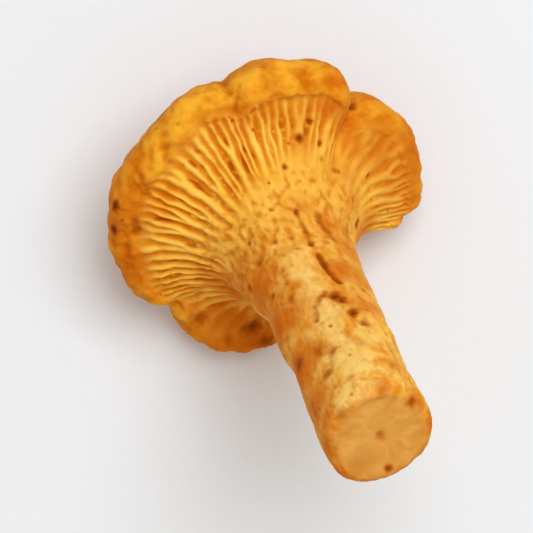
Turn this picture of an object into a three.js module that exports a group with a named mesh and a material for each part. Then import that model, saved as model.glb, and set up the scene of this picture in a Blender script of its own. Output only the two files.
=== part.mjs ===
// One chanterelle, cut at the base of its stem and lying cap down with the stem leaning.
//
// Millimetres, +Z up. The origin is on the surface it lies on, under the middle of its bounding box.
//
// The mushroom grew as one piece, so it is one closed skin: a stack of rings that starts at the middle
// of the cut end, runs down the stem, out over the ridges to the rolled margin, and in again across
// the cap's smooth top. It is shaped standing on the cap's top, with the stem's axis along +Z, the
// cap's widest ring at height 0 and the lean towards +X. Only then is it leaned over and set down.

import * as THREE from "three";

// ---- driving dimensions: millimetres, degrees, and counts ----

const stemLength = 51.2; // from the cap's widest ring to the cut
const stemRadius = 6.7;
const stemBend = [0.9, 0.7]; // sideways: half way along, and at the cut
const cutSlope = 0.1; // the knife went a little askew
const capRadius = 20.6; // of the plain section, before the lobes

const lean = 40; // stem's axis from the vertical
const heading = -65; // where the stem leans to, from +X towards +Y
const flankDepth = 12.6; // from the middle of the widest ring down to the flattened flank
const press = 0.45; // how far the flesh gives where it bears

const ridgeCount = 30; // where they leave the stem; each forks on its way to the margin
const ridgeHeight = 0.75; // from valley to crest at the fullest
const foldHeight = 0.2; // of the shallow folds round the margin
const lobesBelow = 1.7; // how late the lobes set in on the way out from the stem: 1 is at once
const lobesOnTop = 1.3; // the same on the way out from the middle of the cap's top

// Half of the section through the stem's axis, from the edge of the cut to the middle of the cap's
// top: radius, height, rings from here to the next line, and points in each of those rings.
const section = [
  [6.0, stemLength, 1, 45],
  [6.9, stemLength - 0.9, 1, 45],
  [7.1, stemLength - 3.2, 2, 45],
  [6.9, 43.0, 2, 45],
  [stemRadius, 36.0, 3, 45],
  [6.6, 28.0, 3, 45],
  [6.8, 21.0, 2, 90],
  [7.2, 16.6, 2, 90],
  [8.2, 12.4, 3, 180],
  [10.0, 8.9, 3, 180],
  [12.4, 6.1, 3, 180],
  [15.2, 4.0, 3, 180],
  [17.5, 2.8, 2, 180],
  [18.6, 3.0, 2, 180],
  [19.7, 2.3, 2, 180],
  [20.4, 1.0, 2, 90],
  [capRadius, -0.6, 2, 90],
  [20.0, -2.4, 2, 90],
  [18.4, -4.8, 2, 90],
  [15.6, -7.3, 2, 90],
  [11.8, -9.3, 2, 90],
  [7.8, -10.3, 2, 45],
  [3.9, -10.4, 1, 45],
  [0.0, -10.0, 1, 1],
];
// Places along the section, counted in its lines.
const ridgesStart = 6.5;
const ridgesFull = 10.5;
const ridgesEnd = 12.3;
const widest = 16;
const topMiddle = section.length - 1;

// The cap's outline: angle from the lean, radius, and how far the margin is bent up towards the cut.
const outline = [
  [-170, 21.0, 0.0],
  [-150, 20.5, 0.3],
  [-130, 21.1, 0.0],
  [-110, 20.9, -0.2],
  [-90, 20.8, 0.0],
  [-77, 20.9, 0.3],
  [-66, 19.0, 0.2],
  [-55, 20.6, 0.8],
  [-42, 21.7, 1.6],
  [-26, 21.5, 2.2],
  [-8, 19.8, 0.2],
  [10, 18.0, -0.6],
  [22, 15.6, -1.2],
  [30, 14.0, -1.2],
  [38, 12.6, -0.6],
  [45, 14.2, 0.0],
  [51, 18.0, 0.4],
  [60, 20.5, 0.4],
  [75, 21.5, 0.0],
  [92, 21.4, 0.0],
  [108, 20.4, 0.2],
  [116, 19.0, 0.2],
  [121, 17.7, 0.0],
  [127, 20.2, 0.2],
  [136, 21.9, 0.3],
  [150, 21.6, 0.0],
  [164, 21.4, 0.0],
  [172, 19.8, 0.0],
  [180, 20.4, 0.0],
];

// The three low swellings that the mushroom bears on: where on the flattened flank (down the lean,
// and across it), and how far each stands out.
const bearings = [
  [12.2, -1.2, 0.7],
  [1.0, 5.0, 1.1],
  [0.5, -7.2, 1.0],
];
const bearingWidth = 3.5;

// ---- small helpers ----

const { cos, exp, floor, max, sin, PI } = Math;
const { clamp, degToRad, lerp, smoothstep } = THREE.MathUtils;

// The same number from 0 to 1 each time for a whole number, in place of a random one.
function scatter(number) {
  const value = sin(number * 127.1 + 311.7) * 43758.5453;
  return value - floor(value);
}

// ---- shape of the skin ----

const sectionCurve = new THREE.CatmullRomCurve3(
  section.map(([radius, height]) => new THREE.Vector3(radius, height, 0)),
  false,
  "centripetal",
);

// The outline is repeated a turn before and a turn after, so that any angle has lines on both sides.
const turns = [-360, 0, 360].flatMap((turn) =>
  outline.map(([angle, radius, lift]) => [degToRad(angle + turn), radius, lift]));
const outlineCurve = new THREE.CubicInterpolant(
  turns.map(([angle]) => angle),
  turns.flatMap(([, radius, lift]) => [radius, lift]),
  2,
);

// Ridges as they run out over the cap, from -0.5 in a valley to 0.5 on a crest. Each starts as one
// crest and forks into two at a place of its own.
function ridgeWave(place, round) {
  const ridge = floor(round) % ridgeCount;
  const across = round - floor(round) - 0.5;
  const fork = lerp(ridgesFull - 2.5, ridgesEnd - 1, scatter(ridge));
  const forked = smoothstep(place, fork, fork + 1.2);
  return 0.5 * lerp(cos(2 * PI * across), -cos(4 * PI * across), forked);
}

// Ridges are lowest on the lobe to the right of the stem, and fade out on the stem and at the margin.
function ridgeStrength(place, angle) {
  const towardsLeft = 0.75 + 0.25 * cos(angle - degToRad(-130));
  const along = smoothstep(place, ridgesStart, ridgesFull);
  return towardsLeft * along * (1 - smoothstep(place, ridgesEnd - 0.8, ridgesEnd));
}

// Uneven folds round the margin.
function foldWave(angle) {
  return sin(11 * angle + 2 * sin(3 * angle))
    + 0.7 * sin(23 * angle + 2 * sin(5 * angle))
    + 0.5 * sin(37 * angle + 3 * sin(4 * angle));
}

// The stem isn't quite round, and its section turns as it rises.
function stemWave(place, angle, height) {
  const onStem = 1 - smoothstep(place, ridgesStart - 1, ridgesFull - 2);
  return onStem * (0.22 * sin(2 * angle + 0.06 * height) + 0.14 * sin(3 * angle - 0.15 * height));
}

const down = new THREE.Vector3(sin(degToRad(lean)), 0, -cos(degToRad(lean)));
const downLean = new THREE.Vector3(cos(degToRad(lean)), 0, sin(degToRad(lean)));

// The flank that faces down was flattened by what the cap grew against, all but its low swellings.
function flattenFlank(point) {
  const softness = 0.4;
  const flattened = 0.95;
  const beyond = softness * Math.log1p(exp((point.dot(down) - flankDepth) / softness));
  const x = point.dot(downLean) / bearingWidth;
  const y = point.y / bearingWidth;
  const swelling = bearings.reduce((sum, [along, across, height]) =>
    sum + height * exp(-((x - along / bearingWidth) ** 2) - (y - across / bearingWidth) ** 2), 0);
  point.addScaledVector(down, swelling - flattened * beyond);
}

function bendStem(point) {
  const up = clamp(point.z / stemLength, 0, 1);
  point.y += stemBend[0] * sin(PI * up) ** 2 + stemBend[1] * up ** 2;
  point.z += cutSlope * point.x * smoothstep(up, 0.7, 1);
}

// A point of the skin: place is along the section, round is counted in ridges.
function skinPoint(place, round) {
  const { x: plainRadius, y: plainHeight } = sectionCurve.getPoint(place / topMiddle);
  const tangent = sectionCurve.getTangent(place / topMiddle);

  // ridges wander from side to side as they run out
  const plainAngle = (2 * PI * round) / ridgeCount;
  const wander = 0.05 * smoothstep(place, ridgesStart, ridgesEnd) * (1 - smoothstep(place, 14, 18));
  const angle = plainAngle + wander * (sin(3 * plainAngle + 1) + 0.6 * sin(7 * plainAngle));

  // how much of the outline's shape reaches this place: none on the stem, all at the margin
  const belowMargin = clamp((plainRadius - stemRadius) / (section[12][0] - stemRadius), 0, 1);
  const onTop = max(plainRadius, 0) / capRadius;
  const share = place < widest ? belowMargin ** lobesBelow : onTop ** lobesOnTop;

  const relief = ridgeHeight * ridgeStrength(place, angle) * ridgeWave(place, round)
    + foldHeight * foldWave(angle) * smoothstep(share, 0.6, 1)
    + stemWave(place, angle, plainHeight);
  const [rimRadius, rimLift] = outlineCurve.evaluate(angle);
  const radius = plainRadius + (rimRadius - capRadius) * share - tangent.y * relief;
  const height = plainHeight + rimLift * share ** 2 + tangent.x * relief;

  const point = new THREE.Vector3(radius * cos(angle), radius * sin(angle), height);
  if (place > widest - 2) flattenFlank(point);
  bendStem(point);
  return point;
}

// ---- the skin as triangles ----

// Joins two rings of vertex numbers, the first one nearer the cut. A ring may be a single vertex.
function zip(near, far, triangles) {
  const nearSteps = near.length > 1 ? near.length : 0;
  const farSteps = far.length > 1 ? far.length : 0;
  let i = 0;
  let j = 0;
  while (i < nearSteps || j < farSteps) {
    const a = near[i % near.length];
    const b = far[j % far.length];
    const farIsBehind = (j + 0.5) / farSteps <= (i + 0.5) / nearSteps;
    if (i >= nearSteps || (j < farSteps && farIsBehind)) {
      j += 1;
      triangles.push(a, b, far[j % far.length]);
    } else {
      i += 1;
      triangles.push(a, b, near[i % near.length]);
    }
  }
}

function mushroomGeometry() {
  const vertices = [];
  const triangles = [];
  const addRing = (points) => points.map((point) => vertices.push(point) - 1);
  const ringAt = (place, count) => Array.from({ length: count }, (_, k) =>
    skinPoint(place, (k * ridgeCount) / count));

  // the cut end: its middle, and a ring half way out to the edge
  const edge = ringAt(0, section[0][3]);
  const middle = new THREE.Vector3(0, 0, stemLength);
  bendStem(middle);
  const rings = [[middle], edge.map((point) => point.clone().lerp(middle, 0.5))].map(addRing);

  section.forEach(([, , steps, count], line) => {
    for (let step = 0; step < steps; step += 1) {
      rings.push(addRing(ringAt(line + step / steps, count)));
    }
  });
  rings.slice(1).forEach((ring, k) => zip(rings[k], ring, triangles));

  const geometry = new THREE.BufferGeometry().setFromPoints(vertices);
  geometry.setIndex(triangles);
  return geometry;
}

// Leans the mushroom over, sets it down, flattens it where it bears, and centres it.
function layDown(geometry) {
  geometry.rotateY(degToRad(lean));
  geometry.rotateZ(degToRad(heading));
  geometry.computeBoundingBox();
  geometry.translate(0, 0, -geometry.boundingBox.min.z - press);
  const position = geometry.getAttribute("position");
  for (let i = 0; i < position.count; i += 1) {
    position.setZ(i, max(position.getZ(i), 0));
  }
  geometry.computeBoundingBox();
  const middle = geometry.boundingBox.getCenter(new THREE.Vector3());
  geometry.translate(-middle.x, -middle.y, 0);
  geometry.computeVertexNormals();
}

const geometry = mushroomGeometry();
layDown(geometry);
const flesh = new THREE.MeshStandardMaterial({ color: 0xe39a35, roughness: 0.7, metalness: 0 });
const chanterelle = new THREE.Mesh(geometry, flesh);
chanterelle.name = "chanterelle";

const mushroom = new THREE.Group();
mushroom.add(chanterelle);
export default mushroom;
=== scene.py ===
# One chanterelle lying cap down on a pale surface, in soft light and seen from straight above.
#
# The CAD node is one faceted skin. Here the same skin is made again at a finer pitch and takes its
# place: ridges that wander, fork and are tied by cross veins, a wrinkled rolled margin, a suede top,
# a fibrous stem with its crack, scar and pits, and the knife's cut across its base.
#
# As in the CAD, the skin is shaped in millimetres, standing on the cap's top with the stem along +Z.
# Then it is leaned over, set down and scaled to metres. A place on it is given by two numbers: the
# place along the section, counted in the section's lines, and the angle from the lean. Places from
# -1 to 0 run over the cut, from its middle to its edge.

import math

import bpy
import numpy as np
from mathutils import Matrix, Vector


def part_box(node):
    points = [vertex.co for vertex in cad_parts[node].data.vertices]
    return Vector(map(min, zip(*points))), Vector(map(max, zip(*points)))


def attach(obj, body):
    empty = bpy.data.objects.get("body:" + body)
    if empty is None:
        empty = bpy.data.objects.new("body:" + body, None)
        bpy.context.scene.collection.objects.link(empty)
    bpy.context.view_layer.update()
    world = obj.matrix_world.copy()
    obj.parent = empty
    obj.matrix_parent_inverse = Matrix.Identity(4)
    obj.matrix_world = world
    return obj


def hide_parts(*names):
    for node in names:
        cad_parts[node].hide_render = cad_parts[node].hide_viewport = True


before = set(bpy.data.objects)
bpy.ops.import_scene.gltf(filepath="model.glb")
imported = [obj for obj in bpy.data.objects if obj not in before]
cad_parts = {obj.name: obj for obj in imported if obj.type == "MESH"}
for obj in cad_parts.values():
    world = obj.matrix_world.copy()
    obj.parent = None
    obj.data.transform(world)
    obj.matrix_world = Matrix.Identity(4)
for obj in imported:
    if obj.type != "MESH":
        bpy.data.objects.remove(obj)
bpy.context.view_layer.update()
rest_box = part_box("chanterelle")

# ---- the form, as in the CAD: millimetres, radians and counts ----

STEM_LENGTH = 51.2
STEM_RADIUS = 6.7
STEM_BEND = (0.9, 0.7)
CUT_SLOPE = 0.1
CAP_RADIUS = 20.6
LEAN = math.radians(40)
HEADING = math.radians(-65)
FLANK_DEPTH = 12.6
FLANK_SOFTNESS = 0.4
FLATTENED = 0.95
PRESS = 0.45
RIDGE_COUNT = 30
LOBES_BELOW = 1.7
LOBES_ON_TOP = 1.3

# Half of the section: radius and height, from the edge of the cut to the middle of the cap's top.
SECTION = np.array([
    (6.0, STEM_LENGTH), (6.9, STEM_LENGTH - 0.9), (7.1, STEM_LENGTH - 3.2), (6.9, 43.0),
    (STEM_RADIUS, 36.0), (6.6, 28.0), (6.8, 21.0), (7.2, 16.6), (8.2, 12.4), (10.0, 8.9),
    (12.4, 6.1), (15.2, 4.0), (17.5, 2.8), (18.6, 3.0), (19.7, 2.3), (20.4, 1.0),
    (CAP_RADIUS, -0.6), (20.0, -2.4), (18.4, -4.8), (15.6, -7.3), (11.8, -9.3), (7.8, -10.3),
    (3.9, -10.4), (0.0, -10.0),
])
RIDGES_START = 6.5
RIDGES_FULL = 10.5
LOBES_FULL = 12
RIDGES_END = 12.3
WIDEST = 16
TOP_MIDDLE = len(SECTION) - 1

# How far the ridges wander from side to side, and the places between which they settle again.
WANDER = 0.05
WANDER_SETTLES = (14, 18)

# The cap's outline: angle from the lean in degrees, radius, and how far the margin is bent up.
OUTLINE = np.array([
    (-170, 21.0, 0.0), (-150, 20.5, 0.3), (-130, 21.1, 0.0), (-110, 20.9, -0.2), (-90, 20.8, 0.0),
    (-77, 20.9, 0.3), (-66, 19.0, 0.2), (-55, 20.6, 0.8), (-42, 21.7, 1.6), (-26, 21.5, 2.2),
    (-8, 19.8, 0.2), (10, 18.0, -0.6), (22, 15.6, -1.2), (30, 14.0, -1.2), (38, 12.6, -0.6),
    (45, 14.2, 0.0), (51, 18.0, 0.4), (60, 20.5, 0.4), (75, 21.5, 0.0), (92, 21.4, 0.0),
    (108, 20.4, 0.2), (116, 19.0, 0.2), (121, 17.7, 0.0), (127, 20.2, 0.2), (136, 21.9, 0.3),
    (150, 21.6, 0.0), (164, 21.4, 0.0), (172, 19.8, 0.0), (180, 20.4, 0.0),
])

# The swellings that it bears on: down the lean, across it, and how far each stands out.
BEARINGS = [(12.2, -1.2, 0.7), (1.0, 5.0, 1.1), (0.5, -7.2, 1.0)]
BEARING_WIDTH = 3.5

# ---- the finer relief: millimetres, radians and places, but degrees in the tables ----

# There are more ridges here than in the CAD, and they are closest together towards one side.
FINE_RIDGES = 38
CROWDING = 0.16
CROWDED_ANGLE = math.radians(150)

# LOBE_RIDGES more of them come in between LOBE_ANGLES, on the lobe to the right of the stem. Round
# LOBE_MIDDLE they lean over by LOBE_LEAN ridges as they run out between LOBE_LEAN_PLACES.
LOBE_RIDGES = 2
LOBE_ANGLES = (math.radians(50), math.radians(112))
LOBE_MIDDLE = math.radians(72)
LOBE_HALF_WIDTH = 0.35
LOBE_LEAN = 1.5
LOBE_LEAN_PLACES = (9.2, 11.6)

# Each ridge forks at a place of its own from FORK_FIRST to FORK_LAST, over FORK_LENGTH. The rest is
# in ridges: how far a fork's two crests move aside, how far a crest sways, and a crest's half width
# before and after the fork.
FORK_FIRST = 8.0
FORK_LAST = 10.9
FORK_LENGTH = 1.2
FORK_ASIDE = 0.25
CREST_SWAY = 0.12
CREST_WIDTH = 0.25
FORKED_WIDTH = 0.155

# Heights between a valley's floor at 0 and a crest at 1: where the plain skin runs, how far the
# valleys have filled up at the margin, the top of a cross vein, and what there is of the ridges on
# the neck.
PLAIN_LEVEL = 0.55
FILLED_LEVEL = 0.72
VEIN_LEVEL = 0.55
NECK_LEVEL = 0.12

# How many places before the margin's edge the valleys start to fill up, and how many past it the
# margin has fully rolled over.
VALLEYS_FILL = 2.2
MARGIN_ROLL = 0.6

# Nearer the middle of the cap's top than this, the streaks give way to suede.
SUEDE_RADIUS = 11.0

# How far each kind of relief stands out.
CREST_HEIGHT = 0.9
FOLD_HEIGHT = 0.12
LIP_HEIGHT = 0.20
LUMP_HEIGHT = 0.50
OUTER_LUMP_HEIGHT = 0.14
WRINKLE_HEIGHT = 0.08
TOP_DENT_HEIGHT = 0.38
TOP_FOLD_HEIGHT = 0.20
SUEDE_HEIGHT = 0.035
STEM_DENT_HEIGHT = 0.26
FIBRE_HEIGHT = 0.04
MOTTLE_HEIGHT = 0.06
FLUTE_HEIGHT = 0.04
CUT_LUMP_HEIGHT = 0.10
KNIFE_LINE_HEIGHT = 0.02

# Where the margin lies flat, its dip is filled and the section's own lip is taken off by these.
FLAT_FILLING = 0.28
FLAT_CUTTING = 0.40

# How deep the cut's pit and dish are, and the marks on the skin.
PIT_DEPTH = 0.45
DISH_DEPTH = 0.25
RUBBED_DEPTH = 0.05
FLECK_DEPTH = 0.07
DROP_DEPTH = 0.2
SPECK_DEPTH = 0.08

# How the ridges differ round the cap: angle from the lean, the place where they rise from the stem,
# how strong they are, the place where they stop, and how sharply the margin rolls over them.
RIDGES_ROUND = np.array([
    (-175, 8.7, 1.00, 13.0, 0.1), (-158, 8.5, 1.02, 12.3, 0.1), (-135, 8.5, 1.05, 12.2, 0.3),
    (-110, 8.3, 1.05, 12.2, 0.35), (-85, 7.9, 0.95, 12.4, 0.35), (-60, 8.2, 0.75, 12.6, 0.4),
    (-30, 8.8, 0.65, 12.4, 0.5), (0, 8.8, 0.70, 12.4, 0.6), (30, 8.9, 0.60, 12.4, 0.5),
    (55, 8.8, 0.55, 13.6, 0.1), (78, 8.9, 0.46, 13.6, 0.0), (98, 9.0, 0.42, 13.4, 0.0),
    (115, 9.4, 0.30, 13.2, 0.1), (128, 9.4, 0.40, 12.6, 0.4), (150, 9.2, 0.85, 12.0, 0.7),
    (168, 9.0, 0.95, 12.7, 0.5),
])

# Where the margin is torn or stands in or out a little: angle, half width in degrees, and how far.
TORN = [
    (84, 7.0, -0.4), (73, 5.0, -0.3), (61.5, 2.2, 0.8), (57.0, 1.2, -0.8), (54.5, 1.0, 0.3),
    (52.0, 1.5, 0.5), (49.5, 1.2, -0.3), (-50, 12.0, 0.1), (175.5, 2.0, -0.45), (163, 5.0, -0.7),
    (-128, 4.5, -0.5),
]
TORN_FADE = 4  # the higher, the less of it is left away from the rim

# Bands of the skin: from place, to place, rings, and points in each ring.
BANDS = [
    (-1.0, 0.0, 14, 120),
    (0.0, 6.5, 84, 216),
    (6.5, 8.5, 25, 360),
    (8.5, 10.0, 17, 720),
    (10.0, 12.8, 30, 1080),
    (12.8, 17.0, 27, 540),
    (17.0, 22.0, 36, 240),
    (22.0, 23.0, 8, 60),
]

# The stem's crack in two lengths, a wrinkle beside it and the arc-shaped scar, then creases in the
# margin and the shaded line under its lip: half width, depth, how dark each is, and the place and
# angle of each bend. The crack and the scar are brown; in the margin's creases and under the lip the
# darkness is painted shade.
GROOVES = [
    (0.45, 0.30, 0.85, [(7.75, 160), (7.1, 159), (6.35, 161)]),
    (0.42, 0.42, 1.00, [(5.95, 158), (5.55, 158), (5.25, 155), (5.05, 151)]),
    (0.75, 0.25, 0.60, [(7.6, 140), (7.1, 136), (6.8, 128)]),
    (0.50, 0.15, 0.75, [(4.85, 171), (4.75, 180), (4.6, 188), (4.35, 192)]),
    (0.60, 0.40, 0.45, [(13.95, -152), (12.4, -150)]),
    (0.65, 0.40, 0.50, [(13.9, -140), (12.15, -134)]),
    (0.65, 0.35, 0.50, [(12.35, -119), (12.1, -113)]),
    (0.60, 0.35, 0.45, [(13.7, -107), (13.2, -103)]),
    (0.60, 0.25, 0.35, [(14.1, 172), (13.7, -179), (13.5, -170), (12.8, -165)]),
    (0.60, 0.35, 0.40, [(14.6, -149), (13.7, -144)]),
    (0.55, 0.30, 0.45, [(17.0, 176), (15.6, 175), (14.4, 173), (13.6, 170)]),
    (0.50, 0.15, 0.28, [(12.2, 168), (12.0, 158), (12.0, 148), (12.0, 138), (12.4, 128)]),
]

# Brown spots: place, angle, radius, how deep each has sunk, and how dark it is. The last, in the
# notch between two lobes of the margin, is painted shade.
SPOTS = [
    (-0.97, 0, 0.80, 0.25, 0.45), (-0.17, -9, 0.60, 0.15, 0.8), (0.10, 118, 0.90, 0.10, 0.6),
    (0.45, -148, 1.10, 0.08, 0.4), (0.55, 156, 0.90, 0.06, 0.35), (2.15, -179, 0.60, 0.06, 0.3),
    (2.95, -157, 1.00, 0.12, 0.5), (3.25, 158, 0.90, 0.06, 0.3), (3.40, -172, 0.90, 0.10, 0.5),
    (3.70, -155, 1.05, 0.12, 0.5), (3.90, 145, 0.85, 0.15, 0.6), (3.95, -123, 1.10, 0.20, 0.8),
    (4.20, 152, 0.80, 0.30, 0.95), (4.60, 157, 0.80, 0.30, 0.9), (4.72, 163, 0.90, 0.35, 1.0),
    (5.15, -152, 0.50, 0.15, 0.65), (5.55, -155, 0.45, 0.15, 0.5), (5.65, -132, 0.55, 0.15, 0.6),
    (5.90, -158, 0.48, 0.15, 0.5), (6.85, -109, 0.60, 0.20, 0.6), (6.85, 177, 0.45, 0.12, 0.45),
    (6.90, -138, 0.60, 0.20, 0.6), (7.00, -166, 0.48, 0.15, 0.5), (7.65, -144, 0.38, 0.15, 0.7),
    (7.75, 97, 0.65, 0.10, 0.5), (8.85, 79, 0.75, 0.20, 0.75), (9.10, 98, 0.55, 0.15, 0.45),
    (9.40, 158, 0.42, 0.25, 0.8), (9.75, 131, 0.50, 0.10, 0.4), (9.80, 116, 0.50, 0.10, 0.45),
    (10.25, 134, 0.42, 0.25, 0.7), (10.35, 96, 0.40, 0.15, 0.6), (10.35, 147, 0.58, 0.35, 0.95),
    (10.90, 142, 0.42, 0.30, 0.8), (11.25, -30, 1.40, 0.20, 0.85), (11.90, -52, 1.20, 0.15, 0.55),
    (12.20, -38, 0.80, 0.10, 0.4), (12.60, -23, 1.30, 0.15, 0.7), (14.85, -123, 0.85, 0.15, 1.0),
    (14.95, -112, 0.90, 0.15, 1.0), (15.60, 117, 0.90, 0.35, 0.95),
]

# Small specks: from place, to place, and how many lie between them. Then the smallest and largest
# radius, and the least and most dark.
SPECKS = [(0.6, 9.0, 46), (9.0, 12.2, 22), (13, 21, 40)]
SPECK_RADIUS = (0.16, 0.34)
SPECK_DARKNESS = (0.3, 0.75)

# Pale patches where the skin was rubbed off: place, angle, half the length, and half the width.
RUBBED = [
    (1.2, -170, 2.6, 3.2), (2.8, 20, 5.0, 4.2), (2.8, 173, 7.0, 4.0), (3.5, 144, 3.6, 1.8),
    (3.6, -60, 6.5, 3.0), (4.2, -179, 5.5, 2.3), (5.0, 50, 6.0, 3.4), (5.5, -178, 5.0, 2.0),
]

# Creases between the margin's lobes: angle, depth, width, how far one side stands proud, and the
# place where the crease ends.
CREASES = [(174, 0.45, 0.6, 0.25, 16.0), (118, 0.60, 0.7, -0.10, 19.0), (-66, 0.45, 0.7, 0.15, 18.0)]

# Broad swellings of the stem and one hollow: place, angle, radius, and how far each stands out.
SWELLINGS = [
    (3.9, 112, 1.3, 0.40), (3.8, -112, 2.0, 0.35), (2.2, -40, 2.4, 0.35), (5.2, 20, 2.2, -0.35),
    (5.3, -97, 3.6, 0.90), (6.8, -90, 3.4, 1.20), (4.7, -105, 3.2, 0.80),
]

# Deeper orange: stains, and painted shade down the stem's shaded side, round the neck, on the low
# lobe, under the margin's lip and at the cut's rim: place, angle, radius and strength.
STAINS_AND_SHADE = [
    (-0.3, -60, 2.6, 0.9), (-0.3, 5, 3.2, 0.5), (0.5, -164, 1.4, 0.5), (0.5, 106, 1.8, 0.8),
    (0.6, -30, 2.2, 0.75), (0.6, 5, 2.2, 0.75), (0.6, 40, 2.2, 0.8), (0.6, 75, 2.2, 0.85),
    (0.6, 150, 1.4, 0.5), (0.6, 174, 1.6, 0.5), (0.8, -66, 2.4, 0.9), (1.2, -124, 4.0, 0.65),
    (1.4, -96, 2.4, 0.8), (1.6, -146, 2.4, 0.5), (2.4, 130, 1.8, 0.45), (2.6, -122, 4.6, 0.85),
    (3.8, -120, 5.0, 0.95), (4.2, -142, 2.6, 0.5), (4.4, 130, 2.4, 0.7), (4.7, 158, 2.4, 0.6),
    (5.0, -122, 4.8, 0.95), (5.3, 124, 3.0, 0.65), (5.4, 141, 2.5, 0.9), (6.0, -138, 2.4, 0.5),
    (6.2, -120, 4.4, 0.9), (6.6, 112, 3.2, 0.65), (7.0, -140, 2.2, 0.4), (7.0, -108, 4.4, 0.65),
    (7.3, 134, 1.8, 0.8), (7.4, -86, 4.2, 0.8), (7.4, 110, 2.6, 0.6), (7.9, 152, 1.6, 0.5),
    (8.6, -68, 4.8, 0.9), (9.1, 97, 2.4, 0.55), (9.6, 60, 4.0, 0.8), (9.8, 108, 2.6, 0.5),
    (10.0, 113, 3.6, 0.40), (10.2, 146, 2.0, 0.6), (10.8, -38, 6.5, 0.95), (10.8, 108, 2.6, 0.7),
    (11.1, 148, 2.6, 0.45), (11.5, 100, 4.4, 0.75), (11.5, 112, 2.2, 0.7), (11.6, 134, 2.4, 0.9),
    (11.6, 160, 2.0, 0.6), (12.2, -28, 6.0, 0.95), (12.2, 172, 2.2, 0.65), (12.4, -174, 2.0, 0.6),
    (12.4, -157, 1.3, 0.5), (12.4, -134, 1.5, 0.6), (12.6, -82, 2.5, 0.6), (12.6, 84, 4.6, 0.75),
    (12.6, 120, 3.0, 0.7), (12.9, 68, 2.6, 0.8), (13.6, -122, 1.8, 0.5), (13.6, -102, 3.0, 0.9),
    (13.8, -129, 3.2, 0.65), (14.3, 92, 4.6, 0.75), (14.4, -141, 1.6, 0.6), (14.4, -116, 3.8, 0.85),
    (14.5, 130, 2.2, 0.6), (15.0, -95, 3.8, 0.85), (15.4, -140, 2.2, 0.5),
]

# Painted highlights on the margin: place, angle, radius and strength.
MARGIN_HIGHLIGHTS = [
    (13.4, -153, 1.5, 1.2), (13.5, -147, 1.5, 1.1), (13.75, -162, 1.7, 1.2), (14.3, -150, 2.4, 0.4),
    (14.5, -178, 1.9, 1.1), (14.6, -166, 3.4, 0.6), (15.2, 177, 2.4, 0.4), (16.6, 165, 3.2, 1.2),
]


# ---- small helpers ----

def smoothstep(value, start, end):
    share = np.clip((value - start) / (end - start), 0, 1)
    return share * share * (3 - 2 * share)


def lerp(start, end, share):
    return start + (end - start) * share


def bump(away):
    """1 where `away` is 0, falling softly to nothing at about 2."""
    return np.exp(-away ** 2)


def scatter(number):
    """The same number from 0 to 1 each time for a whole number, as in the CAD."""
    value = np.sin(number * 127.1 + 311.7) * 43758.5453
    return value - np.floor(value)


def angle_between(first, second):
    """How far the first angle is past the second, in radians, from -pi to pi."""
    return (first - second + math.pi) % (2 * math.pi) - math.pi


class Noise:
    """Smooth noise in space, from about -1 to 1, that comes out the same on every run.

    Its cells are 1 across, so points in millimetres are multiplied by the number of cells in one.
    A number added to them only moves the pattern, so that no two uses of it look alike.
    """

    def __init__(self, seed):
        draw = np.random.default_rng(seed)
        self.order = np.tile(draw.permutation(256), 2)
        slopes = draw.normal(size=(256, 3))
        self.slopes = slopes / np.linalg.norm(slopes, axis=1, keepdims=True)

    def __call__(self, points):
        cell = np.floor(points).astype(int)
        inside = points - cell
        ease = inside ** 3 * (inside * (inside * 6 - 15) + 10)
        cell %= 256
        total = np.zeros(len(points))
        for corner in np.ndindex(2, 2, 2):
            key = (cell + corner) % 256
            pick = self.order[self.order[key[:, 0]] + key[:, 1]]
            slope = self.slopes[self.order[pick + key[:, 2]]]
            weight = np.prod(np.where(corner, ease, 1 - ease), axis=1)
            total += weight * np.sum(slope * (inside - corner), axis=1)
        return 1.6 * total


def rough(noise, points, octaves):
    """Noise with finer and finer noise on it."""
    return sum(noise(points * 2 ** k + 17.3 * k) / 2 ** k for k in range(octaves))


def warp(noise, points, moves):
    """Noise in three directions at once, to bend a pattern with: each move is another noise."""
    return np.stack([noise(points + move) for move in moves], axis=1)


lumps = Noise(11)
streaks = Noise(23)
wanders = Noise(37)


# ---- the plain skin, as in the CAD ----

def section_point(place):
    """Radius and height on the centripetal Catmull-Rom curve through the section's points."""
    line = np.minimum(place.astype(int), TOP_MIDDLE - 1)
    along = (place - line)[:, None]
    points = np.vstack([2 * SECTION[0] - SECTION[1], SECTION, 2 * SECTION[-1] - SECTION[-2]])
    before, start, end, after = (points[line + k] for k in range(4))
    gap_before, gap, gap_after = (
        np.sqrt(np.linalg.norm(b - a, axis=1))[:, None]
        for a, b in ((before, start), (start, end), (end, after))
    )
    leave = (start - before) / gap_before - (end - before) / (gap_before + gap) + (end - start) / gap
    arrive = (end - start) / gap - (after - start) / (gap + gap_after) + (after - end) / gap_after
    return hermite(along, start, end, leave * gap, arrive * gap)


def hermite(along, start, end, leave, arrive):
    """A cubic curve from start to end, with the slope that it has as it leaves and arrives."""
    square, cube = along ** 2, along ** 3
    return (
        start * (2 * cube - 3 * square + 1) + leave * (cube - 2 * square + along)
        + end * (3 * square - 2 * cube) + arrive * (cube - square)
    )


def section_tangent(place):
    """Direction of the section towards the middle of the cap's top."""
    step = 0.0023  # a ten-thousandth of the section, as in three.js
    ahead = section_point(np.minimum(place + step, TOP_MIDDLE))
    tangent = ahead - section_point(np.maximum(place - step, 0))
    return tangent / np.linalg.norm(tangent, axis=1)[:, None]


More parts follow.
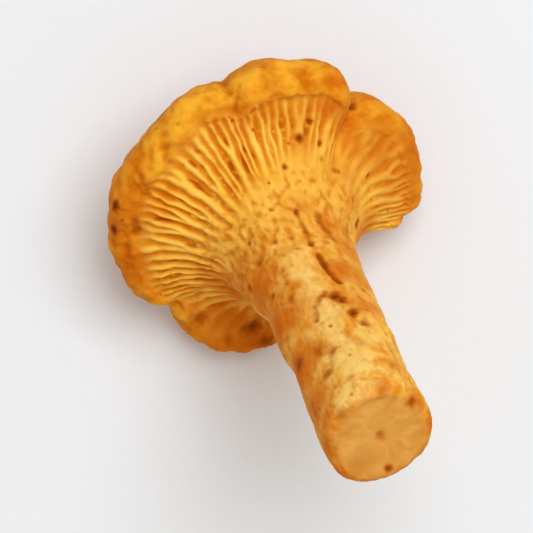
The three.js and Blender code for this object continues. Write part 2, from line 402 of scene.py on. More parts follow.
def around(table, angle):
    """What a table gives at each angle, on smooth curves through its lines."""
    angles = np.radians(np.concatenate([table[:, 0] + turn for turn in (-360, 0, 360)]))
    values = np.vstack([table[:, 1:]] * 3)
    slopes = np.diff(values, axis=0) / np.diff(angles)[:, None]
    through = np.vstack([slopes[:1], (slopes[:-1] + slopes[1:]) / 2, slopes[-1:]])
    line = np.searchsorted(angles, angle, side="right") - 1
    gap = (angles[line + 1] - angles[line])[:, None]
    along = (angle - angles[line])[:, None] / gap
    return hermite(along, values[line], values[line + 1], through[line] * gap, through[line + 1] * gap)


# How far along the section, in mm, each of many places is.
ARC_PLACES = np.linspace(0, TOP_MIDDLE, 100 * TOP_MIDDLE + 1)
ARC_STEPS = np.linalg.norm(np.diff(section_point(ARC_PLACES), axis=0), axis=1)
ARC_LENGTHS = np.concatenate([[0], np.cumsum(ARC_STEPS)])


class Skin:
    """Places on the plain skin, and what the relief and the colours need to know about each.

    along is in mm from the edge of the cut, share is how much of the outline's shape reaches a
    place, from_middle is 0 in the middle of the cut and 1 from its edge on, and body is the point.
    """

    def __init__(self, place, turn):
        self.place = place
        self.turn = turn
        on_section = np.maximum(place, 0)
        self.plain_radius, self.plain_height = section_point(on_section).T
        self.tangent = section_tangent(on_section)
        self.along = np.interp(on_section, ARC_PLACES, ARC_LENGTHS)

        plain_angle = 2 * math.pi * turn / RIDGE_COUNT
        wander = WANDER * smoothstep(place, RIDGES_START, RIDGES_END)
        wander = wander * (1 - smoothstep(place, *WANDER_SETTLES))
        sway = np.sin(3 * plain_angle + 1) + 0.6 * np.sin(7 * plain_angle)
        self.angle = plain_angle + wander * sway

        full_radius = SECTION[LOBES_FULL][0]
        reach = np.clip((self.plain_radius - STEM_RADIUS) / (full_radius - STEM_RADIUS), 0, 1)
        on_top = np.maximum(self.plain_radius, 0) / CAP_RADIUS
        self.share = np.where(place < WIDEST, reach ** LOBES_BELOW, on_top ** LOBES_ON_TOP)
        rim_radius, rim_lift = around(OUTLINE, self.angle).T
        rim_radius += self.share ** TORN_FADE * sum(
            out * bump(angle_between(self.angle, math.radians(angle)) / math.radians(width))
            for angle, width, out in TORN
        )
        self.radius = self.plain_radius + (rim_radius - CAP_RADIUS) * self.share
        self.height = self.plain_height + rim_lift * self.share ** 2
        self.on_cut = place < 0
        self.from_middle = 1 + np.minimum(place, 0)
        self.radius = self.radius * self.from_middle
        self.body = self.at(self.radius, self.height)
        self.rise, self.strength, self.edge, self.sharp = around(RIDGES_ROUND, self.angle).T

    def at(self, radius, height):
        return np.stack([radius * np.cos(self.angle), radius * np.sin(self.angle), height], axis=1)

    def grain(self, cells, length):
        """Noise coordinates for streaks along the section: cells in a radian, and length in mm."""
        on_suede = np.where(self.place > WIDEST, np.clip(self.plain_radius / SUEDE_RADIUS, 0, 1), 1)
        cells = cells * self.from_middle * on_suede
        return np.stack([
            cells * np.cos(self.angle), cells * np.sin(self.angle), self.along / length,
        ], axis=1)

    def from_place(self, place, angle):
        """Distance of each point from one place on the skin, in mm."""
        return np.linalg.norm(self.body - skin_at(place, angle).body, axis=1)


def skin_at(place, angle):
    """One place on the plain skin."""
    return Skin(np.array([float(place)]), np.array([angle % 360 / 360 * RIDGE_COUNT]))


# ---- the relief on it ----

def fold_wave(angle):
    """The uneven folds round the margin, as in the CAD."""
    return (
        np.sin(11 * angle + 2 * np.sin(3 * angle)) + 0.7 * np.sin(23 * angle + 2 * np.sin(5 * angle))
        + 0.5 * np.sin(37 * angle + 3 * np.sin(4 * angle))
    )


def stem_wave(skin):
    """What makes the stem less than round, as in the CAD."""
    on_stem = 1 - smoothstep(skin.place, RIDGES_START - 1, RIDGES_FULL - 2)
    return on_stem * (
        0.22 * np.sin(2 * skin.angle + 0.06 * skin.plain_height)
        + 0.14 * np.sin(3 * skin.angle - 0.15 * skin.plain_height)
    )


def margin_edge(skin):
    """The place where the ridges stop at the rolled margin."""
    raggedness = 0.3
    return skin.edge + raggedness * rough(streaks, skin.grain(6, 50), 2)


def margin_share(skin):
    """0 among the ridges and 1 on the margin, softly where the margin does not roll over."""
    edge = margin_edge(skin)
    soft = np.clip(1 - 2 * skin.sharp, 0, 1)
    return smoothstep(skin.place, edge - 1.4 * soft, edge + MARGIN_ROLL + soft)


def ridge_ends(skin):
    """0 along a ridge, rising to 1 where the valleys beside it have filled up at the margin."""
    edge = margin_edge(skin)
    return smoothstep(skin.place, edge - VALLEYS_FILL, edge + MARGIN_ROLL)


def ridge_strength(skin):
    """How high the ridges stand: low on the neck, full once they rise, and gone past the margin."""
    uneven = np.clip(0.95 + 0.35 * lumps(skin.body * 0.13 + 31), 0, 1.1)
    rise = skin.rise + 0.5 * streaks(skin.grain(3, 50) + 3)
    neck = NECK_LEVEL * smoothstep(skin.place, RIDGES_START, 8)
    full = (1 - NECK_LEVEL) * smoothstep(skin.place, rise, rise + 1.5)
    edge = margin_edge(skin)
    fading = 1 - smoothstep(skin.place, edge, edge + 2.0)
    return skin.strength * uneven * (neck + full) * fading


def count_ridges(skin):
    """Each place's angle as a number of ridges, a valley at each whole number."""
    crowding = CROWDING * FINE_RIDGES / (2 * math.pi) * np.sin(skin.angle - CROWDED_ANGLE)
    on_lobe = bump(angle_between(skin.angle, LOBE_MIDDLE) / LOBE_HALF_WIDTH)
    leaning = LOBE_LEAN * smoothstep(skin.place, *LOBE_LEAN_PLACES) * on_lobe
    more_on_lobe = LOBE_RIDGES * (smoothstep(skin.angle, *LOBE_ANGLES) - 1)
    return skin.turn / RIDGE_COUNT * FINE_RIDGES + crowding + leaning + more_on_lobe


def ridge_crests(skin):
    """0 in a valley and 1 on a crest. Each ridge forks once, somewhere on its way to the margin."""
    turn = count_ridges(skin)
    valley = np.ones(len(skin.place))
    for neighbour in (-1, 0, 1):
        ridge = np.floor(turn) + neighbour
        number = ridge % (FINE_RIDGES + LOBE_RIDGES)
        fork = lerp(FORK_FIRST, FORK_LAST, scatter(number))
        forked = smoothstep(skin.place, fork, fork + FORK_LENGTH)
        for side in (-1, 1):
            own = np.stack([number * 3.7, skin.place * 1.2, np.full(len(number), 0.4 * side)], axis=1)
            sway = CREST_SWAY * rough(wanders, own, 2)
            centre = ridge + 0.5 + side * FORK_ASIDE * forked + sway
            height = 0.85 + 0.45 * rough(wanders, own * (1, 1.3, 1) + 40, 2)
            width = lerp(CREST_WIDTH, FORKED_WIDTH, forked) * (1 + 0.25 * wanders(own + 80))
            valley *= 1 - np.clip(height, 0.12, 1) * bump((turn - centre) / width)
    return 1 - valley


def shaded_valley_drops(skin, crest):
    """Deep stretches of the valleys, sunk further and darkened as painted shade, mostly where the
    ridges stand highest.
    """
    stretches = smoothstep(streaks(skin.grain(14, 2.6) + 115), 0.1, 0.55)
    risen = smoothstep(skin.place, skin.rise + 0.2, skin.rise + 1.2)
    before_margin = 1 - smoothstep(skin.place, 11.0, 12.0)
    return stretches * risen * before_margin * (1 - crest) * skin.strength


def cross_veins(skin):
    """Veins from ridge to ridge: many where the ridges leave the stem, few near the margin.

    A vein runs wherever the noise goes through 0.
    """
    cells = skin.at(0.42 * skin.radius, 0.75 * skin.along)
    line = np.clip(1 - 4 * np.abs(streaks(cells)), 0, 1)
    here = smoothstep(lumps(skin.body * 0.3), -0.3, 0.1)
    near_stem = 1 - smoothstep(skin.place, skin.rise + 0.8, skin.rise + 3.2)
    netted = 0.7 * bump(angle_between(skin.angle, math.radians(-80)) / 0.5)
    return line * here * lerp(near_stem, 1, 0.2 + netted)


def ridge_relief(skin, crest):
    """The ridges, with their crests above the plain skin and their valleys below it."""
    level = lerp(crest, FILLED_LEVEL, ridge_ends(skin))
    return CREST_HEIGHT * ridge_strength(skin) * (level - PLAIN_LEVEL)


def margin_lumps(skin):
    """The margin's lumps, from about -1 to 1."""
    return rough(lumps, skin.body * 0.38, 3)


def margin_relief(skin):
    """The lip where the margin rolls over the ridges, its creases, its lumps and its fine wrinkles."""
    edge = margin_edge(skin)
    on_margin = margin_share(skin)
    on_roll = on_margin * (1 - smoothstep(skin.place, 17, 20))
    lip = LIP_HEIGHT * bump((skin.place - edge - 1.0) / 0.8)
    flat = FLAT_FILLING * bump((skin.place - 11.9) / 0.9) - FLAT_CUTTING * bump(skin.place - 13.3)
    roll = lerp(flat, lip, skin.sharp)
    outer = smoothstep(skin.place, 14.2, 16.5)
    lump = lerp(LUMP_HEIGHT, OUTER_LUMP_HEIGHT, outer) * margin_lumps(skin)
    wrinkle = WRINKLE_HEIGHT * rough(streaks, skin.grain(13, 3.0), 2)
    return roll + on_roll * (lump + wrinkle) + crease_relief(skin, on_margin)


def crease_relief(skin, on_margin):
    """Creases that run in from the notches between the margin's lobes."""
    relief = np.zeros(len(skin.place))
    for angle, depth, width, proud, end in CREASES:
        sway = 0.05 * np.sin(skin.place * 2.1 + angle)
        away = angle_between(skin.angle, math.radians(angle) + sway) * skin.radius
        reach = on_margin * (1 - smoothstep(skin.place, end - 0.6, end + 1))
        overlap = proud * np.tanh(-away / 0.5) * bump(away / 3.2)
        relief += reach * (overlap - depth * bump(away / width))
    return relief


def top_relief(skin):
    """Dents, shallow radial folds and the suede of the cap's top."""
    on_top = smoothstep(skin.place, WIDEST - 0.5, WIDEST + 1.5)
    to_margin = 1 - smoothstep(skin.place, 17.5, 21.5)
    dents = TOP_DENT_HEIGHT * rough(lumps, skin.body * 0.16 + 9, 3)
    folds = TOP_FOLD_HEIGHT * to_margin * rough(streaks, skin.grain(7, 12) + 5, 2)
    suede = SUEDE_HEIGHT * rough(lumps, skin.body * 1.6, 2)
    return on_top * (dents + folds + suede)


def mottling(skin):
    """Flecks a millimetre or two across, drawn out along the section, from about -1 to 1."""
    bent = skin.body + 0.9 * warp(lumps, skin.body * 0.5, (3, 50, 97))
    flecks = rough(streaks, bent * (0.85, 0.85, 0.45) + 8, 3)
    return np.clip(1.2 * flecks, -1, 1)


def stem_relief(skin, mottle):
    """Dents, fibres, flecks and swellings, from the cut to where the ridges stand out."""
    on_stem = 1 - smoothstep(skin.place, 8, RIDGES_FULL)
    dents = STEM_DENT_HEIGHT * rough(lumps, skin.body * 0.22 + 3, 2)
    fibres = FIBRE_HEIGHT * rough(streaks, skin.grain(9, 7) + 0.2 * skin.body, 2)
    swellings = sum(
        height * bump(skin.from_place(place, angle) / radius)
        for place, angle, radius, height in SWELLINGS
    )
    return on_stem * (dents + fibres + MOTTLE_HEIGHT * mottle + swellings)


def flutes(skin):
    """The cut's flesh, in soft folds that run out from its middle, from about -1 to 1."""
    bent = skin.angle + 0.5 * lumps(skin.body * 0.4 + 20)
    around_it = np.stack([3.2 * np.cos(bent), 3.2 * np.sin(bent), 2.2 * skin.from_middle], axis=1)
    return smoothstep(skin.from_middle, 0.15, 0.6) * rough(streaks, around_it + 2, 2)


def cut_relief(skin):
    """Across the cut: a shallow dish and a small pit, soft folds, and the knife's faint lines."""
    pit = -PIT_DEPTH * bump(skin.from_middle / 0.12)
    dish = -DISH_DEPTH * (1 - skin.from_middle ** 2)
    folds = FLUTE_HEIGHT * flutes(skin) + CUT_LUMP_HEIGHT * lumps(skin.body * 0.35)
    knife = KNIFE_LINE_HEIGHT * streaks(skin.body * (0.15, 1.8, 0))
    return np.where(skin.on_cut, pit + dish + folds + knife, 0)


# ---- marks: each from 0 to 1 ----

def groove_marks(skin):
    """How dark each place is from the cracks and creases, and how deep they have cut it.

    The darkness in the margin's creases and under its lip is painted shade.
    """
    dark = np.zeros(len(skin.place))
    cut = np.zeros(len(skin.place))
    ragged = 0.3 * rough(lumps, skin.body * 0.9, 3)
    uneven = 0.65 + 0.5 * streaks(skin.body * 0.6 + 4)
    for half_width, depth, darkness, bends in GROOVES:
        corners = [skin_at(place, angle).body[0] for place, angle in bends]
        nearest = np.full(len(skin.place), np.inf)
        for start, end in zip(corners, corners[1:]):
            along = np.clip((skin.body - start) @ (end - start) / np.sum((end - start) ** 2), 0, 1)
            away = np.linalg.norm(skin.body - start - along[:, None] * (end - start), axis=1)
            nearest = np.minimum(nearest, away)
        shape = np.clip(uneven, 0.2, 1) * bump(np.maximum(nearest + ragged, 0) / half_width)
        dark = np.maximum(dark, darkness * shape)
        cut = np.maximum(cut, depth * shape)
    return dark, cut


def spot_marks(skin):
    """How dark each place is from the spots, and how far they have sunk it."""
    dark = np.zeros(len(skin.place))
    sunk = np.zeros(len(skin.place))
    ragged = 0.35 * lumps(skin.body * 1.5)
    for place, angle, radius, depth, darkness in SPOTS + strewn_specks():
        shape = bump(skin.from_place(place, angle) / radius * (1 + ragged))
        dark = np.maximum(dark, darkness * shape)
        sunk = np.maximum(sunk, depth * shape)
    return dark, sunk


def strewn_specks():
    """Specks strewn over the stem, the ridges and the top, in rows like those of the spots."""
    draw = np.random.default_rng(5)
    places = np.concatenate([draw.uniform(start, end, count) for start, end, count in SPECKS])
    specks = []
    for place in places:
        angle = draw.uniform(0, 360)
        radius = draw.uniform(*SPECK_RADIUS)
        darkness = draw.uniform(*SPECK_DARKNESS)
        specks.append((place, angle, radius, SPECK_DEPTH, darkness))
    return specks


def fleck_mark(skin):
    """Small sunken flecks, thick on the neck and down the stem's shaded side, and few elsewhere. Those
    thickened on the shaded side and left of the neck are painted shade.
    """
    on_stem = smoothstep(skin.place, 0.3, 1.0) * (1 - smoothstep(skin.place, 8.9, 10.1))
    uneven = 0.12 * lumps(skin.body * 0.16 + 33)
    # More flecks down the stem's shaded side and left of the neck: painted shade.
    shaded_side = 0.10 * np.cos(skin.angle - math.radians(-150))
    neck = 0.14 * bump((skin.place - 8.0) / 1.2)
    left_of_neck = bump(angle_between(skin.angle, math.radians(-125)) / 0.7)
    left_of_neck *= 0.22 * bump((skin.place - 7.4) / 1.8)
    bent = skin.body * (1, 1, 0.75) + 0.4 * warp(lumps, skin.body * 0.9, (7, 41, 88))
    flecks = lumps(bent * 1.1 + 70) + uneven + shaded_side + neck + left_of_neck
    return on_stem * smoothstep(flecks, 0.05, 0.85)


def rubbed_mark(skin, mottle):
    """Where the skin is rubbed off, with ragged edges and flecks left on it."""
    rubbed = np.full(len(skin.place), -0.6)
    for place, angle, half_length, half_width in RUBBED:
        middle = np.interp(place, ARC_PLACES, ARC_LENGTHS)
        across = angle_between(skin.angle, math.radians(angle)) * skin.radius
        away = np.hypot((skin.along - middle) / half_length, across / half_width)
        rubbed = np.maximum(rubbed, 1 - away)
    flecked = rubbed + 0.35 * mottle + 0.3 * lumps(skin.body * 0.4 + 60)
    return smoothstep(flecked, -0.3, 0.9) * smoothstep(skin.place, 0.1, 0.6)


def patches(skin, table):
    """The strongest of a table's soft patches, with ragged edges."""
    ragged = 0.4 * rough(lumps, skin.body * 0.3 + 2, 4)
    strongest = np.zeros(len(skin.place))
    for place, angle, radius, strength in table:
        patch = strength * bump(skin.from_place(place, angle) / radius * (1 + ragged))
        strongest = np.maximum(strongest, patch)
    return strongest


def crest_mark(skin, crest):
    """The crests of the ridges, coloured as a painted highlight against painted shade in the valleys,
    and a plain middle value where no ridges stand.
    """
    ends = ridge_ends(skin)
    ridged = np.clip(1.6 * ridge_strength(skin) * (1 - ends), 0, 1)
    plain = lerp(0.6, 0.35, ends)
    return lerp(plain, crest, ridged)


def mottle_and_lump_shading_mark(skin, mottle):
    """The stem's flecks, with the cut's folds and the margin's lumps in their place. On the margin it
    is painted highlight on the lumps and painted shade between them.
    """
    mottle = np.where(skin.on_cut, np.clip(1.2 * flutes(skin), -1, 1), mottle)
    margin_lump_shading = np.clip(1.5 * margin_lumps(skin) + patches(skin, MARGIN_HIGHLIGHTS), -1, 1)
    return 0.5 + 0.5 * lerp(mottle, margin_lump_shading, margin_share(skin))


# ---- the skin in its place ----

def flatten_flank(points):
    """Flattens the flank that faces down, all but the swellings that the mushroom bears on."""
    down = np.array([math.sin(LEAN), 0, -math.cos(LEAN)])
    down_lean = np.array([math.cos(LEAN), 0, math.sin(LEAN)])
    too_low = (points @ down - FLANK_DEPTH) / FLANK_SOFTNESS
    beyond = FLANK_SOFTNESS * np.log1p(np.exp(too_low))
    x = points @ down_lean / BEARING_WIDTH
    y = points[:, 1] / BEARING_WIDTH
    swelling = sum(
        height * np.exp(-(x - along / BEARING_WIDTH) ** 2 - (y - across / BEARING_WIDTH) ** 2)
        for along, across, height in BEARINGS
    )
    return points + (swelling - FLATTENED * beyond)[:, None] * down


def bend_stem(points):
    """Bends the stem a little and slants its cut."""
    up = np.clip(points[:, 2] / STEM_LENGTH, 0, 1)
    points[:, 1] += STEM_BEND[0] * np.sin(math.pi * up) ** 2 + STEM_BEND[1] * up ** 2
    points[:, 2] += CUT_SLOPE * points[:, 0] * smoothstep(up, 0.7, 1)
    return points


def lay_down(points):
    """Leans the mushroom over, presses it on to the floor, and stands it in the CAD solid's box."""
    x = points[:, 0] * math.cos(LEAN) + points[:, 2] * math.sin(LEAN)
    y = points[:, 1]
    z = points[:, 2] * math.cos(LEAN) - points[:, 0] * math.sin(LEAN)
    z = np.maximum(z - z.min() - PRESS, 0)
    turned_x = x * math.cos(HEADING) - y * math.sin(HEADING)
    turned_y = x * math.sin(HEADING) + y * math.cos(HEADING)
    laid = 0.001 * np.stack([turned_x, turned_y, z], axis=1)
    low, high = laid.min(axis=0), laid.max(axis=0)
    box_low, box_high = np.array(rest_box[0]), np.array(rest_box[1])
    return box_low + (laid - low) * (box_high - box_low) / (high - low)


def skin_places():
    """Rings of places over the whole skin, the first and the last a single place."""
    rings = [(-1.0, 1)]
    for start, end, count, points in BANDS:
        steps = np.linspace(start, end, count, endpoint=False)
        rings += [(place, points) for place in steps if place > -1]
    rings.append((float(TOP_MIDDLE), 1))
    return rings


def zip_rings(near, far):
    """Faces between two rings of vertex numbers, the first one nearer the cut."""
    if len(near) == len(far):
        near_next, far_next = np.roll(near, -1), np.roll(far, -1)
        return np.stack([near, far, far_next, near_next], axis=1).tolist()
    faces = []
    near_steps = len(near) if len(near) > 1 else 0
    far_steps = len(far) if len(far) > 1 else 0
    i = j = 0
    while i < near_steps or j < far_steps:
        a, b = near[i % len(near)], far[j % len(far)]
        if i >= near_steps or (j < far_steps and (j + 0.5) / far_steps <= (i + 0.5) / near_steps):
            j += 1
            faces.append((a, b, far[j % len(far)]))
        else:
            i += 1
            faces.append((a, b, near[i % len(near)]))
    return faces


def shape_skin(skin, crest, mottle, sunk):
    """Points of the finished skin: the relief stands out square to the section.

    On the cut there is only its own relief, and an outline that follows the stem's.
    """
    out_of_round = stem_wave(skin)
    folds = FOLD_HEIGHT * fold_wave(skin.angle) * smoothstep(skin.share, 0.6, 1)
    relief = (
        ridge_relief(skin, crest) + margin_relief(skin) + top_relief(skin)
        + stem_relief(skin, mottle) + folds + out_of_round - sunk
    )
    relief = np.where(skin.on_cut, 0, relief)
    cut_outline = np.where(skin.on_cut, out_of_round * skin.from_middle, 0)
    radius = skin.radius - skin.tangent[:, 1] * relief + cut_outline
    height = skin.height + skin.tangent[:, 0] * relief + cut_relief(skin)
    points = skin.at(radius, height)
    near_top = skin.place > WIDEST - 2
    points = np.where(near_top[:, None], flatten_flank(points), points)
    return lay_down(bend_stem(points))


def skin_faces(rings):
    """Faces between each ring of the skin and the next."""
    ends = np.cumsum([count for _, count in rings])
    numbers = np.split(np.arange(ends[-1]), ends[:-1])
    return [face for near, far in zip(numbers, numbers[1:]) for face in zip_rings(near, far)]


def make_mushroom():
    rings = skin_places()
    place = np.concatenate([np.full(count, place) for place, count in rings])
    turn = np.concatenate([np.arange(count) * RIDGE_COUNT / count for _, count in rings])
    skin = Skin(place, turn)

    crest = np.maximum(ridge_crests(skin), VEIN_LEVEL * cross_veins(skin))
    groove_brown_and_shade, groove_cut = groove_marks(skin)
    spot_dark, spot_sunk = spot_marks(skin)
    mottle = mottling(skin)
    shaded_drops = shaded_valley_drops(skin, crest)
    fleck = fleck_mark(skin)
    rubbed = rubbed_mark(skin, mottle)
    sunk = groove_cut + spot_sunk + RUBBED_DEPTH * rubbed + FLECK_DEPTH * fleck + DROP_DEPTH * shaded_drops

    mesh = bpy.data.meshes.new("chanterelle_skin")
    points = shape_skin(skin, crest, mottle, sunk)
    mesh.from_pydata(points.tolist(), [], skin_faces(rings))
    mesh.shade_smooth()
    marks = {
        "crest": crest_mark(skin, crest),
        "stem": 1 - smoothstep(place, 6.0, 10.5),
        "margin": margin_share(skin),
        "top": smoothstep(place, WIDEST - 0.5, WIDEST + 2.5),
        "cut": 1 - smoothstep(place + 0.15 * lumps(skin.body * 0.8), -0.2, 0.25),
        "rubbed": rubbed,
        "stain_and_shade": patches(skin, STAINS_AND_SHADE),
        "shaded_drops": shaded_drops,
        # dark: brown spots and cracks, and painted shade in margin creases, under the lip and in a
        # notch.
        "dark": np.maximum(spot_dark, groove_brown_and_shade),
        "fleck": fleck,
        "mottle": mottle_and_lump_shading_mark(skin, mottle),
    }
    for name, values in marks.items():
        mark = mesh.attributes.new(name, "FLOAT", "POINT")
        mark.data.foreach_set("value", values.astype(np.float32))
    grain = mesh.attributes.new("grain", "FLOAT_VECTOR", "POINT")
    grain.data.foreach_set("vector", skin.grain(1, 1).astype(np.float32).ravel())
    mesh.materials.append(Flesh().material)

    mushroom = bpy.data.objects.new("chanterelle_skin", mesh)
    bpy.context.collection.objects.link(mushroom)
    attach(mushroom, "root")
    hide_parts("chanterelle")


# ---- materials ----

def srgb(red, green, blue):
    """A colour from its sRGB bytes, as the linear values that sockets take."""
    def linear(byte):
        share = byte / 255
        return share / 12.92 if share <= 0.04045 else ((share + 0.055) / 1.055) ** 2.4
    return (linear(red), linear(green), linear(blue), 1)


# Ridge colours: a painted highlight on the crests, painted shade in the valleys and deep stretches.
LIT_CREST = srgb(255, 202, 83)
LIT_CREST_DEEP = srgb(250, 186, 59)
SHADED_VALLEY = srgb(222, 132, 11)
SHADED_VALLEY_DEEP = srgb(209, 114, 4)
DROP_SHADE = srgb(184, 86, 2)
STEM = srgb(250, 194, 88)
STEM_DEEP = srgb(226, 146, 32)
STEM_FLECK = srgb(222, 142, 32)
STEM_FIBRE = srgb(244, 192, 92)
SUNKEN_FLECK = srgb(202, 108, 6)
# The margin: painted highlight on its lumps, painted shade between them.
MARGIN_LIT = srgb(244, 172, 44)
MARGIN_SHADED = srgb(206, 110, 4)
MARGIN_CLOUD = srgb(216, 124, 8)
MARGIN_BLOTCH = srgb(206, 112, 4)
TOP = srgb(218, 132, 18)
TOP_DEEP = srgb(190, 98, 6)
TOP_FIBRE = srgb(228, 150, 34)
BARE = srgb(246, 204, 116)
BARE_DEEP = srgb(240, 184, 84)
BARE_FLECK = srgb(222, 150, 44)
CUT = srgb(236, 174, 87)
CUT_DEEP = srgb(222, 151, 60)
CUT_CLOUD = srgb(222, 150, 58)
CUT_BLOTCH = srgb(212, 138, 48)
CUT_STAIN_AND_SHADE = srgb(206, 132, 48)
# Stains, and painted shade on the stem's shaded side, the neck, the low lobe, under the lip and at the
# cut's rim.
STAIN_AND_SHADE = srgb(208, 100, 0)
SPECK = srgb(180, 92, 6)
# Brown spots and cracks, and painted shade in the margin's creases, under its lip and in a notch.
BROWN_AND_SHADE = srgb(176, 84, 2)
DARK_BROWN = srgb(112, 46, 2)
PAPER = srgb(235, 235, 236)
PAPER_DEEP = srgb(231, 231, 232)


class Nodes:
    """Short calls for building a material's node tree."""

    def __init__(self, name):
        self.material = bpy.data.materials.new(name)
        self.material.use_nodes = True
        self.tree = self.material.node_tree
        self.shader = self.tree.nodes["Principled BSDF"]

    def feed(self, socket, value):
        if isinstance(value, bpy.types.NodeSocket):
            self.tree.links.new(value, socket)
        else:
            socket.default_value = value

    def shade(self, name, value):
        """Feeds one of the shader's own sockets."""
        self.feed(self.shader.inputs[name], value)

    def position(self):
        """The point on the object, in metres."""
        return self.tree.nodes.new("ShaderNodeTexCoord").outputs["Object"]

    def attribute(self, name, output="Fac"):
        node = self.tree.nodes.new("ShaderNodeAttribute")
        node.attribute_name = name
        return node.outputs[output]

    def maths(self, operation, *values):
        node = self.tree.nodes.new("ShaderNodeMath")
        node.operation = operation
        for socket, value in zip(node.inputs, values):
            self.feed(socket, value)
        return node.outputs[0]

    def faded(self, value, share):
        """A mark at a share of its strength."""
        return self.maths("MULTIPLY", value, share)

    def spread(self, value, low, high):
        """Maps low..high to 0..1, clamped and eased."""
        node = self.tree.nodes.new("ShaderNodeMapRange")
        node.interpolation_type = "SMOOTHSTEP"
        self.feed(node.inputs["Value"], value)
        node.inputs["From Min"].default_value = low
        node.inputs["From Max"].default_value = high
        return node.outputs["Result"]

    def mix(self, share, first, second):
        node = self.tree.nodes.new("ShaderNodeMix")
        node.data_type = "RGBA"
        self.feed(node.inputs[0], share)
        self.feed(node.inputs[6], first)
        self.feed(node.inputs[7], second)
        return node.outputs[2]

    def stretch(self, vector, scale):
        node = self.tree.nodes.new("ShaderNodeMapping")
        self.feed(node.inputs["Vector"], vector)
        node.inputs["Scale"].default_value = scale
        return node.outputs["Vector"]

    def noise(self, vector, scale, detail, roughness):
        node = self.tree.nodes.new("ShaderNodeTexNoise")
        self.feed(node.inputs["Vector"], vector)
        node.inputs["Scale"].default_value = scale
        node.inputs["Detail"].default_value = detail
        node.inputs["Roughness"].default_value = roughness
        return node.outputs["Fac"]

    def bump(self, height, distance, normal=None):
        node = self.tree.nodes.new("ShaderNodeBump")
        self.feed(node.inputs["Height"], height)
        node.inputs["Distance"].default_value = distance
        if normal is not None:
            self.feed(node.inputs["Normal"], normal)
        return node.outputs["Normal"]


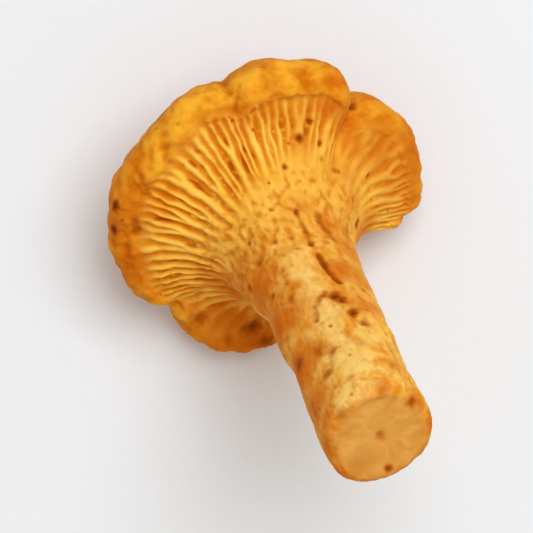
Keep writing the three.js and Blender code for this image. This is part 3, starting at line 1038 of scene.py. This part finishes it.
class Flesh(Nodes):
    """The mushroom's flesh, coloured by the marks on its mesh and by noise."""

    def __init__(self):
        super().__init__("mushroom_flesh")
        names = (
            "crest", "stem", "margin", "top", "cut", "rubbed", "stain_and_shade", "shaded_drops", "dark", "fleck",
            "mottle",
        )
        self.marks = {name: self.attribute(name) for name in names}
        # noise in space, so many cells to the metre, and noise drawn out along the section
        position = self.position()
        grain = self.attribute("grain", "Vector")
        self.clouds = self.noise(position, 160, 4, 0.6)
        self.blotches = self.noise(position, 420, 4, 0.65)
        self.specks = self.noise(position, 1500, 3, 0.6)
        self.flecks = self.noise(self.stretch(grain, (5.5, 5.5, 0.55)), 1.0, 4, 0.7)
        self.fibres = self.noise(self.stretch(grain, (9, 9, 0.16)), 1.0, 4, 0.6)

        self.shade("Base Color", self.colour())
        self.shade("Roughness", self.maths("MULTIPLY_ADD", self.blotches, 0.2, 0.52))
        self.shade("Specular IOR Level", 0.03)
        self.shade("Subsurface Weight", 0.2)
        self.shade("Subsurface Radius", (1.0, 0.45, 0.15))
        self.shade("Subsurface Scale", 0.0012)
        self.shade("Normal", self.pores())

    def colour(self):
        """Every part's colour, laid one over the other where its mark is."""
        marks = self.marks
        colour = self.mix(marks["stem"], self.ridges(), self.stem())
        colour = self.mix(self.faded(marks["fleck"], 0.75), colour, SUNKEN_FLECK)
        colour = self.mix(marks["margin"], colour, self.margin())
        colour = self.mix(marks["top"], colour, self.top())
        # Stains, and painted shade on the stem's shaded side, the neck, the low lobe, under the lip
        # and at the cut's rim.
        colour = self.mix(marks["stain_and_shade"], colour, STAIN_AND_SHADE)
        colour = self.mix(self.faded(marks["rubbed"], 0.9), colour, self.bare())
        colour = self.mix(marks["cut"], colour, self.cut())
        speckled = self.faded(self.spread(self.specks, 0.62, 0.8), 0.35)
        colour = self.mix(speckled, colour, SPECK)
        # Brown spots and cracks, and painted shade in the margin's creases, under its lip and in a
        # notch.
        colour = self.mix(self.spread(marks["dark"], 0.0, 0.6), colour, BROWN_AND_SHADE)
        return self.mix(self.spread(marks["dark"], 0.45, 1.0), colour, DARK_BROWN)

    def ridges(self):
        """Painted shade, deep orange, in the valleys and a painted highlight, yellow, on the crests,
        and painted shade darkest in the deep stretches.
        """
        crest = self.spread(self.marks["crest"], 0.05, 0.8)
        light = self.mix(crest, SHADED_VALLEY, LIT_CREST)
        deep = self.mix(crest, SHADED_VALLEY_DEEP, LIT_CREST_DEEP)
        colour = self.mix(self.spread(self.clouds, 0.35, 0.7), light, deep)
        return self.mix(self.spread(self.marks["shaded_drops"], 0.1, 0.8), colour, DROP_SHADE)

    def stem(self):
        """Paler and flecked, and faintly streaked along its length."""
        colour = self.mix(self.spread(self.marks["mottle"], -0.1, 1.0), STEM_DEEP, STEM)
        colour = self.mix(self.spread(self.flecks, 0.5, 0.75), colour, STEM_FLECK)
        streaked = self.faded(self.spread(self.fibres, 0.45, 0.7), 0.3)
        return self.mix(streaked, colour, STEM_FIBRE)

    def margin(self):
        """Deeper than the ridges, and mottled: painted shade between its lumps, painted highlight on
        them.
        """
        colour = self.mix(self.spread(self.marks["mottle"], -0.1, 1.0), MARGIN_SHADED, MARGIN_LIT)
        colour = self.mix(self.spread(self.clouds, 0.45, 0.8), colour, MARGIN_CLOUD)
        return self.mix(self.spread(self.blotches, 0.5, 0.85), colour, MARGIN_BLOTCH)

    def top(self):
        """Deep and clouded, with pale fibres."""
        colour = self.mix(self.spread(self.clouds, 0.35, 0.65), TOP, TOP_DEEP)
        return self.mix(self.spread(self.fibres, 0.45, 0.75), colour, TOP_FIBRE)

    def bare(self):
        """The pale flesh where the skin is rubbed off, with flecks left on it."""
        colour = self.mix(self.spread(self.blotches, 0.4, 0.7), BARE, BARE_DEEP)
        return self.mix(self.spread(self.flecks, 0.52, 0.75), colour, BARE_FLECK)

    def cut(self):
        """The cut's flesh, darker in its folds and stained, with painted shade at its rim."""
        colour = self.mix(self.spread(self.marks["mottle"], 0.1, 0.9), CUT_DEEP, CUT)
        clouded = self.faded(self.spread(self.clouds, 0.4, 0.7), 0.5)
        colour = self.mix(clouded, colour, CUT_CLOUD)
        blotched = self.faded(self.spread(self.blotches, 0.45, 0.75), 0.4)
        colour = self.mix(blotched, colour, CUT_BLOTCH)
        return self.mix(self.faded(self.marks["stain_and_shade"], 0.8), colour, CUT_STAIN_AND_SHADE)

    def pores(self):
        """A normal with fine pores and coarser flecks, both weaker on the cut."""
        off_cut = self.maths("MULTIPLY_ADD", self.marks["cut"], -0.7, 1.0)
        fine = self.bump(self.maths("MULTIPLY", self.specks, off_cut), 0.00014)
        return self.bump(self.maths("MULTIPLY", self.flecks, off_cut), 0.0002, fine)


def paper_material():
    nodes = Nodes("pale_surface")
    fibres = nodes.noise(nodes.position(), 900, 3, 0.6)
    nodes.shade("Base Color", nodes.mix(fibres, PAPER_DEEP, PAPER))
    nodes.shade("Roughness", 0.9)
    nodes.shade("Specular IOR Level", 0.2)
    return nodes.material


# ---- the stage ----

def make_floor():
    half = 2.0
    corners = [(-half, -half, 0), (half, -half, 0), (half, half, 0), (-half, half, 0)]
    mesh = bpy.data.meshes.new("floor")
    mesh.from_pydata(corners, [], [(0, 1, 2, 3)])
    mesh.materials.append(paper_material())
    floor = bpy.data.objects.new("floor", mesh)
    bpy.context.collection.objects.link(floor)


def make_lights():
    world = bpy.data.worlds.new("studio")
    world.use_nodes = True
    background = world.node_tree.nodes["Background"]
    background.inputs["Color"].default_value = (1.01, 0.98, 0.92, 1)
    background.inputs["Strength"].default_value = 0.56
    bpy.context.scene.world = world

    lamp = bpy.data.lights.new("softbox", "AREA")
    lamp.shape = "SQUARE"
    lamp.size = 0.6
    lamp.energy = 6.6
    lamp.color = (0.935, 1.0, 1.07)
    softbox = bpy.data.objects.new("softbox", lamp)
    softbox.location = (0.22, 0.28, 0.95)
    softbox.rotation_euler = softbox.location.to_track_quat("Z", "Y").to_euler()
    softbox.visible_camera = False
    bpy.context.collection.objects.link(softbox)


def make_camera():
    view_width = 0.068
    middle_height = 0.03
    lens = bpy.data.cameras.new("overhead")
    lens.lens = 450
    lens.sensor_width = 36
    camera = bpy.data.objects.new("overhead", lens)
    camera.location = (0, 0, middle_height + view_width * lens.lens / lens.sensor_width)
    bpy.context.collection.objects.link(camera)
    bpy.context.scene.camera = camera


make_mushroom()
make_floor()
make_lights()
make_camera()
bpy.context.scene.view_settings.view_transform = "Standard"
